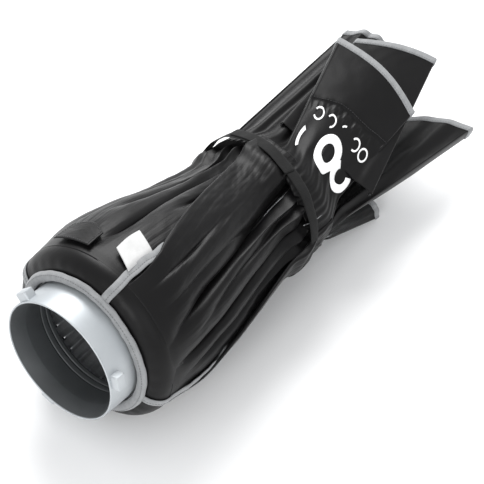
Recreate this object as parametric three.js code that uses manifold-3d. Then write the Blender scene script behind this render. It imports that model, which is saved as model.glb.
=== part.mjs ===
// Collapsible rod softbox with a rotating bayonet ring, folded up and tied with its strap.
// Millimetres. The assembly runs along +Y: the bayonet ring faces -Y, the folded front lies at +Y.
import * as THREE from "three";
import { mergeVertices } from "three/addons/utils/BufferGeometryUtils.js";
import Module from "manifold-3d";

const wasm = await Module();
wasm.setup();

// ---- Driving dimensions -------------------------------------------------------------------------
const PITCH = 4; // degrees the folded tail lies lower than the ring
const ROLL = 26.2; // degrees the frame has rolled about its own axis
const AXIS_HEIGHT = 108.45; // height of the ring's front centre over the floor
const AXIS_START = -285.944; // the ring's front along the floor, from the middle of the object

const RING_R = 70; // bayonet ring, outer radius
const RING_WALL = 5;
const RING_CHAMFER = 1;
const RING_DEPTH = 47; // from the front edge to the captured flange
const FLANGE_R = 78;
const FLANGE_THICK = 3;
const LUG = { tangential: 17, axial: 12, radial: 9, sunk: 2, from: 2.5, first: 14.9, count: 3 };
const LINER = { wall: 1.6, from: 2, to: 52 };
const GAP = 0.3; // clearance between neighbours
const THROUGH = 60; // length of a tool that cuts right through

const CLAMP = { inner: 71.2, outer: 86.5, from: 43.5, thick: 3 };
const HUB = { bore: 66, outer: 88, lip: 79.5, face: 50.5, back: 54.5 };
const SCREW = { ring: 83, shank: 2, head: 3, headHeight: 1.8, end: 1, count: 4 };

const PIVOT = 60; // each rib pivot is at (+-60, +-60) in the rolled frame
const PIVOT_Y = 65;
const SWING = 27.7; // azimuth of a rib's swing plane, from the frame's long axis
const REST_LEAN = 7.7; // degrees a folded rib leans inwards
const RIB_LENGTH = 440;
const ROD_R = 2.5;
const ROOT = {
  thick: 7, depth: 11, from: -5, to: 13.7,
  socketR: 5.2, socketFrom: 10.2, socketTo: 30.6, floor: 11.9,
};
const BRACKET = { width: 16, cheek: 2, gap: 8.4, base: 2, top: 8 };
const PIN = { r: 2.5, tail: 1, headR: 3.9, head: 1.6 };
const TIP = { r: 5, length: 18, wall: 6, edge: 2.5 };

const DRUM_R = 100; // fabric drum over the hub
const COVER = { inner: 83, outer: 99.5, front: 39, bend: 58, back: 76, steps: 5 };
const COLLAR = { inner: 72.5, outer: 82.5, middle: 35, thick: 6, sides: 6 };
const SKIRT_FROM = 62;
const SKIRT_TO = 336;
const DRUM_END = 95; // the drum starts to taper here
const WAIST_Y = 318;
const WAIST = { a: 75, b: 61 };
const CLOTH = 1.2; // thickness of the fabric solids
const FLAP_CLOTH = 2.4; // a flap is two layers
const WALL = { cloth: 0.8, rise: 6.6, from: 0.16, to: 0.84 };
const LAYER_RISE = 5; // how far a panel climbs over the next one
const LAP = { from: 75, to: 300, growth: 2.2 }; // where a panel starts and stops creeping over the next
const SEAM_FIRST = ROLL - 45; // azimuth of the seam at the first rib
const SEAM_GAP = 0.4; // degrees
const WALL_FROM = 308;
const RIM_Y = 500;
const STRAP = { width: 14, thick: 1.6, rise: 8.2, middle: 304, tilt: 17, furthest: 125 };
const PATCH = { azimuths: [101, 129], ys: [66, 97], rise: 5.4, thick: 1.4 };
const LABEL = { azimuths: [74, 88], ys: [70, 108], rise: 5.2, thick: 0.8 };

const rad = THREE.MathUtils.degToRad;
const lerp = THREE.MathUtils.lerp;
const ease = THREE.MathUtils.smoothstep;

// ---- Materials -----------------------------------------------------------------------------------
const finish = (color, roughness, metalness) => () =>
  new THREE.MeshStandardMaterial({ color, roughness, metalness, side: THREE.DoubleSide });
const silverPaint = finish(0xc9d0d6, 0.45, 0.6);
const darkPaint = finish(0x3a3c3e, 0.6, 0.2);
const steel = finish(0x9a9da0, 0.35, 0.9);
const blackNylon = finish(0x1c1b1d, 0.7, 0);
const greyBinding = finish(0xa9acae, 0.8, 0);
const whiteLabel = finish(0xf0f0f0, 0.7, 0);
const blackPlastic = finish(0x151515, 0.5, 0);

// ---- Solid helpers -------------------------------------------------------------------------------
function toSolid(geometry) {
  const bare = geometry.clone();
  for (const extra of ["normal", "uv"]) bare.deleteAttribute(extra);
  const merged = mergeVertices(bare, 1e-4);
  return new wasm.Manifold(
    new wasm.Mesh({
      numProp: 3,
      vertProperties: new Float32Array(merged.attributes.position.array),
      triVerts: new Uint32Array(merged.index.array),
    }),
  );
}

function toGeometry(solid) {
  const mesh = solid.getMesh();
  const geometry = new THREE.BufferGeometry();
  geometry.setAttribute("position", new THREE.BufferAttribute(new Float32Array(mesh.vertProperties), 3));
  geometry.setIndex(new THREE.BufferAttribute(new Uint32Array(mesh.triVerts), 1));
  return geometry;
}

const join = (...shapes) => toGeometry(shapes.map(toSolid).reduce((a, b) => a.add(b)));
const cut = (shape, ...tools) =>
  toGeometry(tools.map(toSolid).reduce((a, b) => a.subtract(b), toSolid(shape)));

function box(width, depth, height, x, y, z) {
  return new THREE.BoxGeometry(width, depth, height).translate(x, y, z);
}

// A solid turned about the Y axis from [radius, y] corners that run round the section.
function turned(corners, segments = 48) {
  const profile = [...corners, corners[0]].map(([r, y]) => new THREE.Vector2(r, y));
  return new THREE.LatheGeometry(profile, segments);
}

function tube(outer, inner, from, to, segments) {
  return turned([[inner, from], [outer, from], [outer, to], [inner, to]], segments);
}

// A thin closed solid on the surface point(u, v), with u and v from 0 to 1.
function sheet(point, columns, rows, thickness = CLOTH) {
  const positions = [];
  const index = [];
  const id = (i, j, side) => (side * (rows + 1) + j) * (columns + 1) + i;
  const step = 1e-3;
  for (const side of [0, 1]) {
    for (let j = 0; j <= rows; j++) {
      for (let i = 0; i <= columns; i++) {
        const [u, v] = [i / columns, j / rows];
        const p = point(u, v);
        const [u0, v0] = [Math.min(u, 1 - step), Math.min(v, 1 - step)];
        const base = point(u0, v0);
        const du = point(u0 + step, v0).sub(base);
        const dv = point(u0, v0 + step).sub(base);
        const normal = du.cross(dv).normalize();
        p.addScaledVector(normal, (side - 0.5) * thickness);
        positions.push(p.x, p.y, p.z);
      }
    }
  }
  const quad = (a, b, c, d) => index.push(a, b, c, a, c, d);
  for (let j = 0; j < rows; j++) {
    for (let i = 0; i < columns; i++) {
      quad(id(i, j, 1), id(i + 1, j, 1), id(i + 1, j + 1, 1), id(i, j + 1, 1));
      quad(id(i, j, 0), id(i, j + 1, 0), id(i + 1, j + 1, 0), id(i + 1, j, 0));
    }
  }
  for (let i = 0; i < columns; i++) {
    quad(id(i, 0, 0), id(i + 1, 0, 0), id(i + 1, 0, 1), id(i, 0, 1));
    quad(id(i, rows, 1), id(i + 1, rows, 1), id(i + 1, rows, 0), id(i, rows, 0));
  }
  for (let j = 0; j < rows; j++) {
    quad(id(0, j, 1), id(0, j + 1, 1), id(0, j + 1, 0), id(0, j, 0));
    quad(id(columns, j, 0), id(columns, j + 1, 0), id(columns, j + 1, 1), id(columns, j, 1));
  }
  const geometry = new THREE.BufferGeometry();
  geometry.setAttribute("position", new THREE.Float32BufferAttribute(positions, 3));
  geometry.setIndex(index);
  return geometry;
}

// ---- Scene graph ---------------------------------------------------------------------------------
const softbox = new THREE.Group();
const assembly = new THREE.Group(); // pitched frame, +Y along the object
assembly.position.set(0, AXIS_START, AXIS_HEIGHT);
assembly.rotation.x = rad(-PITCH);
softbox.add(assembly);
const frame = new THREE.Group(); // rolled frame of the hub and ribs
frame.rotation.y = rad(-ROLL);
assembly.add(frame);

function place(parent, name, geometry, material) {
  const mesh = new THREE.Mesh(geometry, material());
  mesh.name = name;
  parent.add(mesh);
  return mesh;
}

// ---- Bayonet ring and hub -------------------------------------------------------------------------
function bayonetRing() {
  const inner = RING_R - RING_WALL;
  const body = turned([
    [inner, RING_CHAMFER], [inner + RING_CHAMFER, 0], [RING_R - RING_CHAMFER, 0], [RING_R, RING_CHAMFER],
    [RING_R, RING_DEPTH], [FLANGE_R, RING_DEPTH],
    [FLANGE_R, RING_DEPTH + FLANGE_THICK], [inner, RING_DEPTH + FLANGE_THICK],
  ], 48);
  const lugs = [...Array(LUG.count).keys()].map((k) =>
    box(LUG.radial + LUG.sunk, LUG.axial, LUG.tangential,
      RING_R + (LUG.radial - LUG.sunk) / 2, LUG.from + LUG.axial / 2, 0)
      .rotateY(-rad(LUG.first + (k * 360) / LUG.count)),
  );
  return join(body, ...lugs);
}

const screwAngles = [...Array(SCREW.count).keys()].map((k) => (k * 360) / SCREW.count);
const screwHole = (angle) =>
  new THREE.CylinderGeometry(SCREW.shank + GAP, SCREW.shank + GAP, THROUGH, 8)
    .translate(SCREW.ring, HUB.face, 0)
    .rotateY(-rad(angle));

function clampRing() {
  const ring = tube(CLAMP.outer, CLAMP.inner, CLAMP.from, CLAMP.from + CLAMP.thick);
  return cut(ring, ...screwAngles.map(screwHole));
}

function hubPlate() {
  const plate = turned([
    [HUB.bore, HUB.face], [HUB.lip, HUB.face], [HUB.lip, CLAMP.from + CLAMP.thick + GAP],
    [HUB.outer, CLAMP.from + CLAMP.thick + GAP], [HUB.outer, HUB.back], [HUB.bore, HUB.back],
  ]);
  return cut(plate, ...screwAngles.map(screwHole));
}

function clampScrew(angle) {
  const under = CLAMP.from - GAP;
  const screw = new THREE.LatheGeometry(
    [[0, under - SCREW.headHeight], [SCREW.head, under - SCREW.headHeight], [SCREW.head, under],
      [SCREW.shank, under], [SCREW.shank, HUB.back - SCREW.end], [0, HUB.back - SCREW.end]]
      .map(([r, y]) => new THREE.Vector2(r, y)), 10);
  return screw.translate(SCREW.ring, 0, 0).rotateY(-rad(angle));
}

place(assembly, "mount_ring", bayonetRing(), silverPaint);
place(assembly, "ring_liner",
  tube(RING_R - RING_WALL - GAP, RING_R - RING_WALL - GAP - LINER.wall, LINER.from, LINER.to),
  darkPaint);
place(frame, "clamp_ring", clampRing(), steel);
place(frame, "hub_plate", hubPlate(), steel);
screwAngles.forEach((angle, k) => place(frame, `clamp_screw_${k + 1}`, clampScrew(angle), steel));

// ---- Ribs ------------------------------------------------------------------------------------------
// Rib numbers go round from the lower right: 1 lower right, 2 upper right, 3 upper left, 4 lower left.
const corners = [[1, -1], [1, 1], [-1, 1], [-1, -1]];
const swingAzimuth = ([sx, sz]) => THREE.MathUtils.radToDeg(
  Math.atan2(sz * Math.sin(rad(SWING)), sx * Math.cos(rad(SWING))));

// In a rib's own frame X points outwards in its swing plane, Z is its hinge axis and Y leads to the tip.
function ribFrame(corner, lean) {
  const pivot = new THREE.Group();
  pivot.position.set(corner[0] * PIVOT, PIVOT_Y, corner[1] * PIVOT);
  pivot.rotation.y = -rad(swingAzimuth(corner));
  const swung = new THREE.Group();
  swung.rotation.z = rad(lean);
  pivot.add(swung);
  frame.add(pivot);
  return [pivot, swung];
}

const alongZ = (radius, length, segments = 12) =>
  new THREE.CylinderGeometry(radius, radius, length, segments).rotateX(Math.PI / 2);

function ribBracket() {
  const foot = HUB.back + GAP - PIVOT_Y;
  const height = BRACKET.top - foot;
  const outside = BRACKET.gap + 2 * BRACKET.cheek;
  const cheeks = [-1, 1].map((s) =>
    box(BRACKET.width, height, BRACKET.cheek, 0, foot + height / 2, (s * (BRACKET.gap + BRACKET.cheek)) / 2));
  const base = box(BRACKET.width, BRACKET.base, outside, 0, foot + BRACKET.base / 2, 0);
  return cut(join(base, ...cheeks), alongZ(PIN.r + GAP, THROUGH));
}

function hingePin() {
  const half = BRACKET.gap / 2 + BRACKET.cheek;
  const head = half + GAP;
  return new THREE.LatheGeometry(
    [[0, -half - PIN.tail], [PIN.r, -half - PIN.tail], [PIN.r, head], [PIN.headR, head],
      [PIN.headR, head + PIN.head], [0, head + PIN.head]]
      .map(([r, y]) => new THREE.Vector2(r, y)), 12).rotateX(Math.PI / 2);
}

// A cylinder along the rib, between two heights above the hinge.
function alongRib(radius, from, to, segments) {
  return new THREE.CylinderGeometry(radius, radius, to - from, segments).translate(0, (from + to) / 2, 0);
}

function ribRoot() {
  const block = box(ROOT.depth, ROOT.to - ROOT.from, ROOT.thick, 0, (ROOT.from + ROOT.to) / 2, 0);
  const socket = alongRib(ROOT.socketR, ROOT.socketFrom, ROOT.socketTo, 12);
  const bore = alongRib(ROD_R + GAP, ROOT.floor, THROUGH, 12);
  return cut(join(block, socket), bore, alongZ(PIN.r + GAP, THROUGH));
}

function ribRod() {
  return alongRib(ROD_R, ROOT.floor + GAP, RIB_LENGTH - TIP.wall - GAP, 10);
}

function ribTip() {
  const open = RIB_LENGTH - TIP.length;
  const bottom = RIB_LENGTH - TIP.wall;
  return new THREE.LatheGeometry(
    [[0, bottom], [ROD_R + GAP, bottom], [ROD_R + GAP, open], [TIP.r, open],
      [TIP.r, RIB_LENGTH - TIP.edge], [TIP.r - TIP.edge, RIB_LENGTH], [0, RIB_LENGTH]]
      .map(([r, y]) => new THREE.Vector2(r, y)), 12);
}

corners.forEach((corner, k) => {
  const [pivot, swung] = ribFrame(corner, REST_LEAN);
  place(pivot, `rib_bracket_${k + 1}`, ribBracket(), steel);
  place(pivot, `hinge_pin_${k + 1}`, hingePin(), steel);
  place(swung, `rib_root_${k + 1}`, ribRoot(), blackPlastic);
  place(swung, `rib_rod_${k + 1}`, ribRod(), steel);
  place(swung, `rib_tip_${k + 1}`, ribTip(), blackPlastic);
});

// The line of rib k at height y, in the assembly frame.
function ribLine(k, y) {
  const corner = corners[k];
  const azimuth = rad(swingAzimuth(corner));
  const inward = (y - PIVOT_Y) * Math.tan(rad(REST_LEAN));
  const x = corner[0] * PIVOT - inward * Math.cos(azimuth);
  const z = corner[1] * PIVOT - inward * Math.sin(azimuth);
  const [c, s] = [Math.cos(rad(ROLL)), Math.sin(rad(ROLL))];
  return new THREE.Vector3(x * c - z * s, y, x * s + z * c);
}

// ---- Fabric ----------------------------------------------------------------------------------------
// The outside of the folded bundle: a round drum that narrows to an oval waist.
function hull(azimuth, y, rise) {
  const narrowing = ease(y, DRUM_END, WAIST_Y);
  const a = lerp(DRUM_R, WAIST.a, narrowing) + rise;
  const b = lerp(DRUM_R, WAIST.b, narrowing) + rise;
  return new THREE.Vector3(a * Math.cos(rad(azimuth)), y, b * Math.sin(rad(azimuth)));
}

// Each panel runs from its own seam to a crease that laps over the next seam. Laps in degrees.
const panels = [
  { name: "right", lap: 45 },
  { name: "top", lap: 30 },
  { name: "left", lap: 30 },
  { name: "bottom", lap: 26 },
];

function skirtPanel(k) {
  const from = SEAM_FIRST + 90 * k;
  return sheet((u, v) => {
    const y = lerp(SKIRT_FROM, SKIRT_TO, v);
    const reach = Math.max(0, (Math.min(y, LAP.to) - LAP.from) / (LAP.to - LAP.from));
    const azimuth = lerp(from + SEAM_GAP, from + 90 - SEAM_GAP + panels[k].lap * reach ** LAP.growth, u);
    return hull(azimuth, y, 1 + LAYER_RISE * u * u);
  }, 10, 9);
}

// The gathered wall between two neighbouring ribs, ahead of the waist.
function wallPanel(k) {
  const next = (k + 1) % 4;
  return sheet((u, v) => {
    const y = lerp(WALL_FROM, RIM_Y, v);
    const [a, b] = [ribLine(k, y), ribLine(next, y)];
    const out = a.clone().add(b).setY(0).normalize();
    return a.lerp(b, lerp(WALL.from, WALL.to, u)).addScaledVector(out, WALL.rise + Math.sin(Math.PI * u));
  }, 4, 6, WALL.cloth);
}

// Folded flaps of slack cloth ahead of the strap. Each has its two edges at the waist and at the rim,
// as [x, z, y] in the assembly frame.
const lobes = [
  { side: "right", waist: [[69, 21, 344], [5, 59, 344]], rim: [[55, 40, 497], [-45, 85, 492]], bow: 8 },
  { side: "top", waist: [[45, 27, 400], [-25, 63, 400]], rim: [[25, 44, 575], [-43, 66, 524]], bow: 3 },
  { side: "side", waist: [[-26, 48, 344], [-66, 31, 344]], rim: [[-30, 43, 560], [-70, 51, 541]], bow: 5 },
  { side: "low", waist: [[48, -14, 344], [76, -4, 344]], rim: [[28, -6, 524], [88, -12, 568]], bow: 5 },
  { side: "corner", waist: [[38, -50, 340], [66, -34, 340]], rim: [[44, -60, 420], [72, -73, 418]], bow: 2 },
  {
    side: "floor",
    waist: [[-50, -48, 344], [20, -62, 344]],
    rim: [[-46, -66, 520], [26, -68, 520]],
    bow: -3,
  },
];

function frontFlap({ waist, rim, bow }) {
  const corner = ([x, z, y]) => new THREE.Vector3(x, y, z);
  const [w0, w1] = waist.map(corner);
  const [r0, r1] = rim.map(corner);
  const across = r1.clone().sub(r0);
  const out = new THREE.Vector3(0, 1, 0).cross(across).normalize();
  if (out.z < 0) out.negate();
  return sheet((u, v) => {
    const p = w0.clone().lerp(w1, u).lerp(r0.clone().lerp(r1, u), v);
    return p.addScaledVector(out, bow * Math.sin(Math.PI * u) * v);
  }, 6, 6, FLAP_CLOTH);
}

// The cloth shoulder that covers the hub, from the collar round to the drum.
function hubCover() {
  const side = (skin) => [...Array(COVER.steps + 1).keys()].map((k) => {
    const t = ((k / COVER.steps) * Math.PI) / 2;
    return [COVER.inner + (COVER.outer - COVER.inner - skin) * Math.sin(t),
      COVER.bend - (COVER.bend - COVER.front - skin) * Math.cos(t)];
  });
  const edge = [[COVER.outer, COVER.back], [COVER.outer - CLOTH, COVER.back]];
  return turned([...side(0), ...edge, ...side(CLOTH).reverse()]);
}

function collarBinding() {
  const middle = (COLLAR.inner + COLLAR.outer) / 2;
  const half = (COLLAR.outer - COLLAR.inner) / 2;
  const round = [...Array(COLLAR.sides).keys()].map((k) => {
    const t = (k / COLLAR.sides) * 2 * Math.PI;
    return [middle + half * Math.cos(t), COLLAR.middle + (COLLAR.thick / 2) * Math.sin(t)];
  });
  return turned(round);
}

function tieStrap() {
  const points = 32;
  const at = (azimuth, rise) => {
    return hull(azimuth, STRAP.middle + STRAP.tilt * Math.cos(rad(azimuth - STRAP.furthest)), rise);
  };
  const positions = [];
  const index = [];
  for (let k = 0; k < points; k++) {
    const azimuth = (k / points) * 360;
    for (const [rise, side] of [[0, -1], [STRAP.thick, -1], [STRAP.thick, 1], [0, 1]]) {
      const p = at(azimuth, STRAP.rise + rise);
      positions.push(p.x, p.y + (side * STRAP.width) / 2, p.z);
    }
  }
  const id = (k, c) => (k % points) * 4 + (c % 4);
  for (let k = 0; k < points; k++) {
    for (let c = 0; c < 4; c++) {
      index.push(id(k, c), id(k + 1, c + 1), id(k + 1, c), id(k, c), id(k, c + 1), id(k + 1, c + 1));
    }
  }
  const geometry = new THREE.BufferGeometry();
  geometry.setAttribute("position", new THREE.Float32BufferAttribute(positions, 3));
  geometry.setIndex(index);
  return geometry;
}

// A small patch of webbing or label that follows the drum.
function drumPatch({ azimuths, ys, rise, thick }) {
  return sheet((u, v) => hull(lerp(...azimuths, u), lerp(...ys, v), rise), 6, 4, thick);
}

place(assembly, "hub_cover", hubCover(), blackNylon);
place(assembly, "collar_binding", collarBinding(), greyBinding);
panels.forEach((panel, k) => place(assembly, `skirt_panel_${panel.name}`, skirtPanel(k), blackNylon));
panels.forEach((panel, k) => place(assembly, `wall_panel_${panel.name}`, wallPanel(k), blackNylon));
lobes.forEach((lobe) => place(assembly, `front_flap_${lobe.side}`, frontFlap(lobe), blackNylon));
place(assembly, "tie_strap", tieStrap(), blackPlastic);
place(assembly, "grip_patch", drumPatch(PATCH), blackNylon);
place(assembly, "side_label", drumPatch(LABEL), whiteLabel);

export default softbox;
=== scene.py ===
import math

import bpy
import numpy as np
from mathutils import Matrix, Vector

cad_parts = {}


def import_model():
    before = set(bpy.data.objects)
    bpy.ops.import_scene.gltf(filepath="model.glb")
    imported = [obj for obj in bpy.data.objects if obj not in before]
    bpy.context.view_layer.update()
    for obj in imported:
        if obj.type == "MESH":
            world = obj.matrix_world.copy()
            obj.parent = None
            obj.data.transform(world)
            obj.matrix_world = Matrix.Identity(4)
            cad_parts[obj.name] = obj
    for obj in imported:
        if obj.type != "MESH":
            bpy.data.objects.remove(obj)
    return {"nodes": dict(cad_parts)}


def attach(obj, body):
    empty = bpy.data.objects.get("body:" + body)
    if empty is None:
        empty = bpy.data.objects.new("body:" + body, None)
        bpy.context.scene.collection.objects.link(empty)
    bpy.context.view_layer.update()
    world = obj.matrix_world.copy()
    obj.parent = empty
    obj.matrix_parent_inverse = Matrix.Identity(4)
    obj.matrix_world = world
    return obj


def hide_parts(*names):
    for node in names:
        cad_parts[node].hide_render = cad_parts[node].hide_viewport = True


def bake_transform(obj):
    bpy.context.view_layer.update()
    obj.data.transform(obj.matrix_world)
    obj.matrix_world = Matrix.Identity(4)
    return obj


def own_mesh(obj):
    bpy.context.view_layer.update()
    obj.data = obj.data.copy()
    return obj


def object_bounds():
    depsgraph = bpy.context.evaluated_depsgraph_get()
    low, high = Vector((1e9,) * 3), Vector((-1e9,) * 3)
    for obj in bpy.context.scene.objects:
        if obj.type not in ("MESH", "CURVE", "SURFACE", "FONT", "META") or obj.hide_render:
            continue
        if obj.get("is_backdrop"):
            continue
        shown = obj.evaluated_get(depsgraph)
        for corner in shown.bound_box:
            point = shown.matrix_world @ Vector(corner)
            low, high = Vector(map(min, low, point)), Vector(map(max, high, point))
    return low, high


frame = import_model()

CAD_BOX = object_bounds()

# ---- Measures in millimetres: the CAD part's own, apart from where the drawn cloth starts and laps --
# Assembly frame: Y runs from the ring's front along the bundle, Z is up, X is to the right.
PITCH = math.radians(4)
ROLL_DEGREES = 26.2
ROLL = math.radians(ROLL_DEGREES)
RING_FRONT = (0.0, -285.944, 108.45)
RING_R, RING_WALL, RING_DEPTH, FLANGE_R = 70.0, 5.0, 47.0, 78.0
LUG_FIRST, LUG_FROM, LUG_LENGTH, LUG_WIDTH, LUG_OUT = 14.9, 2.5, 12.0, 17.0, 9.0
LINER_OUT, LINER_IN, LINER_TO = 64.7, 63.1, 52.0
TAPER_FROM, TAPER_OUT = 16.0, 3.2  # the ring and its sleeve flare towards the rim
COLLAR_R, COLLAR_Y, COLLAR_SECTION = 77.5, 35.5, (5.2, 3.9)
DRUM_R, DRUM_END = 100.0, 95.0
COVER_IN, COVER_FRONT, COVER_BEND, COVER_BACK = 83.0, 39.0, 58.0, 76.0
SKIRT_FROM, SKIRT_TO = 57.0, 338.0
WAIST_Y, WAIST_A, WAIST_B = 318.0, 75.0, 61.0
SEAM_FIRST = ROLL_DEGREES - 45.0
LAP_FROM, LAP_TO, LAYER_RISE = 108.0, 307.0, 5.0
PIVOT, PIVOT_Y, SWING, LEAN = 60.0, 65.0, math.radians(27.7), math.radians(7.7)
WALL_FROM, RIM_Y = 306.0, 500.0
STRAP_WIDTH, STRAP_RISE, STRAP_MIDDLE, STRAP_TILT, STRAP_FURTHEST = 14.0, 8.2, 304.0, 17.0, 125.0
CLOTH = 0.5

PANELS = [
    {"name": "right", "lap": 33, "corner": (1, -1)},
    {"name": "top", "lap": 30, "corner": (1, 1)},
    {"name": "left", "lap": 30, "corner": (-1, 1)},
    {"name": "bottom", "lap": 26, "corner": (-1, -1)},
]


# ---- Small maths ----------------------------------------------------------------------------------
def world(points):
    """Assembly-frame millimetres to row-frame metres."""
    p = np.asarray(points, float)
    x, y, z = p[..., 0], p[..., 1], p[..., 2]
    c, s = math.cos(PITCH), math.sin(PITCH)
    out = np.stack([x, y * c + z * s, -y * s + z * c], -1) + np.array(RING_FRONT)
    return out / 1000


def rolled(x, y, z):
    """A point of the hub's rolled frame, in the assembly frame."""
    c, s = math.cos(ROLL), math.sin(ROLL)
    return np.array([x * c - z * s, y, x * s + z * c])


def smooth(t, low=0.0, high=1.0):
    t = np.clip((np.asarray(t, float) - low) / (high - low), 0, 1)
    return t * t * (3 - 2 * t)


def lerp(a, b, t):
    return a + (b - a) * t


def stack(x, y, z):
    return np.stack(np.broadcast_arrays(x, y, z), -1)


def unit(v):
    return v / np.maximum(np.linalg.norm(v, axis=-1, keepdims=True), 1e-12)


def hull(azimuth, y, rise=0.0):
    """The outside of the bundle at an azimuth in degrees: a drum that narrows to an oval waist."""
    n = smooth(y, DRUM_END, WAIST_Y)
    az = np.radians(azimuth)
    a = lerp(DRUM_R, WAIST_A, n) + rise
    b = lerp(DRUM_R, WAIST_B, n) + rise
    return stack(a * np.cos(az), y, b * np.sin(az))


def rib_line(k, y):
    """The middle of rib k at height y."""
    sx, sz = PANELS[k]["corner"]
    inward = (np.asarray(y, float) - PIVOT_Y) * math.tan(LEAN)
    x = sx * (PIVOT - inward * math.cos(SWING))
    z = sz * (PIVOT - inward * math.sin(SWING))
    c, s = math.cos(ROLL), math.sin(ROLL)
    return stack(x * c - z * s, y, x * s + z * c)


def ripple(u, v, seed, octaves=((1.0, 1.0), (0.5, 2.1), (0.27, 4.3))):
    """Smooth deterministic noise on a grid, about -1 to 1."""
    total = np.zeros(np.broadcast(u, v).shape)
    for k, (size, rate) in enumerate(octaves):
        a, b = seed * 1.7 + k * 2.3, seed * 0.9 + k * 4.1
        total += size * np.sin(2 * math.pi * rate * u + a + 1.9 * np.sin(2 * math.pi * rate * v * 0.7 + b))
        total += size * 0.6 * np.sin(2 * math.pi * rate * v * 1.3 + b + 2.3 * np.sin(3.1 * rate * u + a))
    return total / 2.2


# ---- Node materials -------------------------------------------------------------------------------
class Nodes:
    """A short way to write a node tree."""

    def __init__(self, name, **values):
        self.material = bpy.data.materials.new(name)
        self.material.use_nodes = True
        self.tree = self.material.node_tree
        self.shader = self.tree.nodes["Principled BSDF"]
        for key, value in values.items():
            self.shader.inputs[key.replace("_", " ")].default_value = value

    def add(self, kind, inputs=None, **settings):
        node = self.tree.nodes.new("ShaderNode" + kind)
        for key, value in settings.items():
            setattr(node, key, value)
        for key, value in (inputs or {}).items():
            if isinstance(value, bpy.types.NodeSocket):
                self.tree.links.new(value, node.inputs[key])
            else:
                node.inputs[key].default_value = value
        return node

    def uv(self, scale):
        place = self.add("UVMap", uv_map="flat")
        return self.add("Mapping", {"Vector": place.outputs["UV"], "Scale": scale}).outputs[0]

    def space(self, scale):
        place = self.add("TexCoord")
        return self.add("Mapping", {"Vector": place.outputs["Object"], "Scale": scale}).outputs[0]

    def noise(self, vector, scale, detail=3.0, rough=0.55):
        node = self.add("TexNoise", {"Vector": vector, "Scale": scale, "Detail": detail, "Roughness": rough})
        return node.outputs["Fac"]

    def wave(self, vector, scale, distortion=0.0, direction="X"):
        node = self.add("TexWave", {"Vector": vector, "Scale": scale, "Distortion": distortion},
                        wave_type="BANDS", bands_direction=direction)
        return node.outputs["Fac"]

    def maths(self, operation, a, b):
        return self.add("Math", {0: a, 1: b}, operation=operation).outputs[0]

    def ramp(self, value, stops):
        node = self.add("ValToRGB", {"Fac": value})
        elements = node.color_ramp.elements
        while len(elements) < len(stops):
            elements.new(0.5)
        for element, (place, colour) in zip(elements, stops):
            element.position = place
            element.color = (*colour, 1)
        return node.outputs["Color"]

    def level(self, value, low, high):
        node = self.add("MapRange", {"Value": value, "To Min": low, "To Max": high})
        return node.outputs[0]

    def colour(self, socket):
        self.tree.links.new(socket, self.shader.inputs["Base Color"])

    def roughness(self, socket):
        self.tree.links.new(socket, self.shader.inputs["Roughness"])

    def bump(self, *layers):
        """Each layer is (height, strength, distance in metres)."""
        normal = None
        for height, strength, distance in layers:
            inputs = {"Height": height, "Strength": strength, "Distance": distance}
            if normal is not None:
                inputs["Normal"] = normal
            normal = self.add("Bump", inputs).outputs["Normal"]
        self.tree.links.new(normal, self.shader.inputs["Normal"])


WAVE = 2 * math.pi / 20  # a wave texture of this scale repeats every metre


def weave(m, thread):
    """Warp and weft of a plain weave; thread is the pitch in metres."""
    plane = m.uv((1, 1, 1))
    across = m.wave(plane, WAVE / thread, direction="X")
    along = m.wave(plane, WAVE / thread, direction="Y")
    return m.maths("MAXIMUM", across, along)


def nylon_material():
    m = Nodes("black_nylon", Roughness=0.42, Specular_IOR_Level=0.19, Sheen_Weight=0.02, Sheen_Roughness=0.4)
    cloth = m.uv((1, 1, 1))
    patches = m.noise(cloth, 9, 4)
    m.colour(m.ramp(patches, [(0.3, (0.0024, 0.0022, 0.0024)), (0.7, (0.0040, 0.0037, 0.0040))]))
    m.roughness(m.level(m.noise(cloth, 45, 3), 0.37, 0.46))
    creases = m.noise(m.uv((1, 0.22, 1)), 60, 3, 0.5)
    fine = m.noise(cloth, 300, 2)
    m.bump((creases, 0.12, 0.0015), (fine, 0.1, 0.0004), (weave(m, 0.0007), 0.1, 0.0002))
    return m.material


def lining_material():
    m = Nodes("silver_lining", Metallic=0.8, Roughness=0.3, Specular_IOR_Level=0.6)
    cloth = m.uv((1, 1, 1))
    m.colour(m.ramp(m.noise(cloth, 30, 4), [(0.3, (0.36, 0.37, 0.38)), (0.7, (0.56, 0.57, 0.58))]))
    m.roughness(m.level(m.noise(cloth, 70, 3), 0.24, 0.38))
    m.bump((m.noise(cloth, 95, 4, 0.65), 0.55, 0.002), (weave(m, 0.0009), 0.15, 0.0002))
    return m.material


def tape_material(name, dark, light, ribs=0.0011, sheen=0.2):
    """Woven binding or webbing: ribs across the tape, a little fuzz."""
    m = Nodes(name, Roughness=0.82, Specular_IOR_Level=0.22, Sheen_Weight=sheen, Sheen_Roughness=0.5)
    tape = m.uv((1, 1, 1))
    rib = m.wave(tape, WAVE / ribs, 0.4, "Y")
    tint = m.maths("ADD", m.maths("MULTIPLY", m.noise(tape, 120, 4), 0.7), m.maths("MULTIPLY", rib, 0.3))
    m.colour(m.ramp(tint, [(0.25, dark), (0.75, light)]))
    m.roughness(m.level(m.noise(tape, 300, 2), 0.72, 0.9))
    m.bump((m.noise(tape, 90, 3), 0.3, 0.0012), (rib, 0.2, 0.0003))
    return m.material


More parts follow.
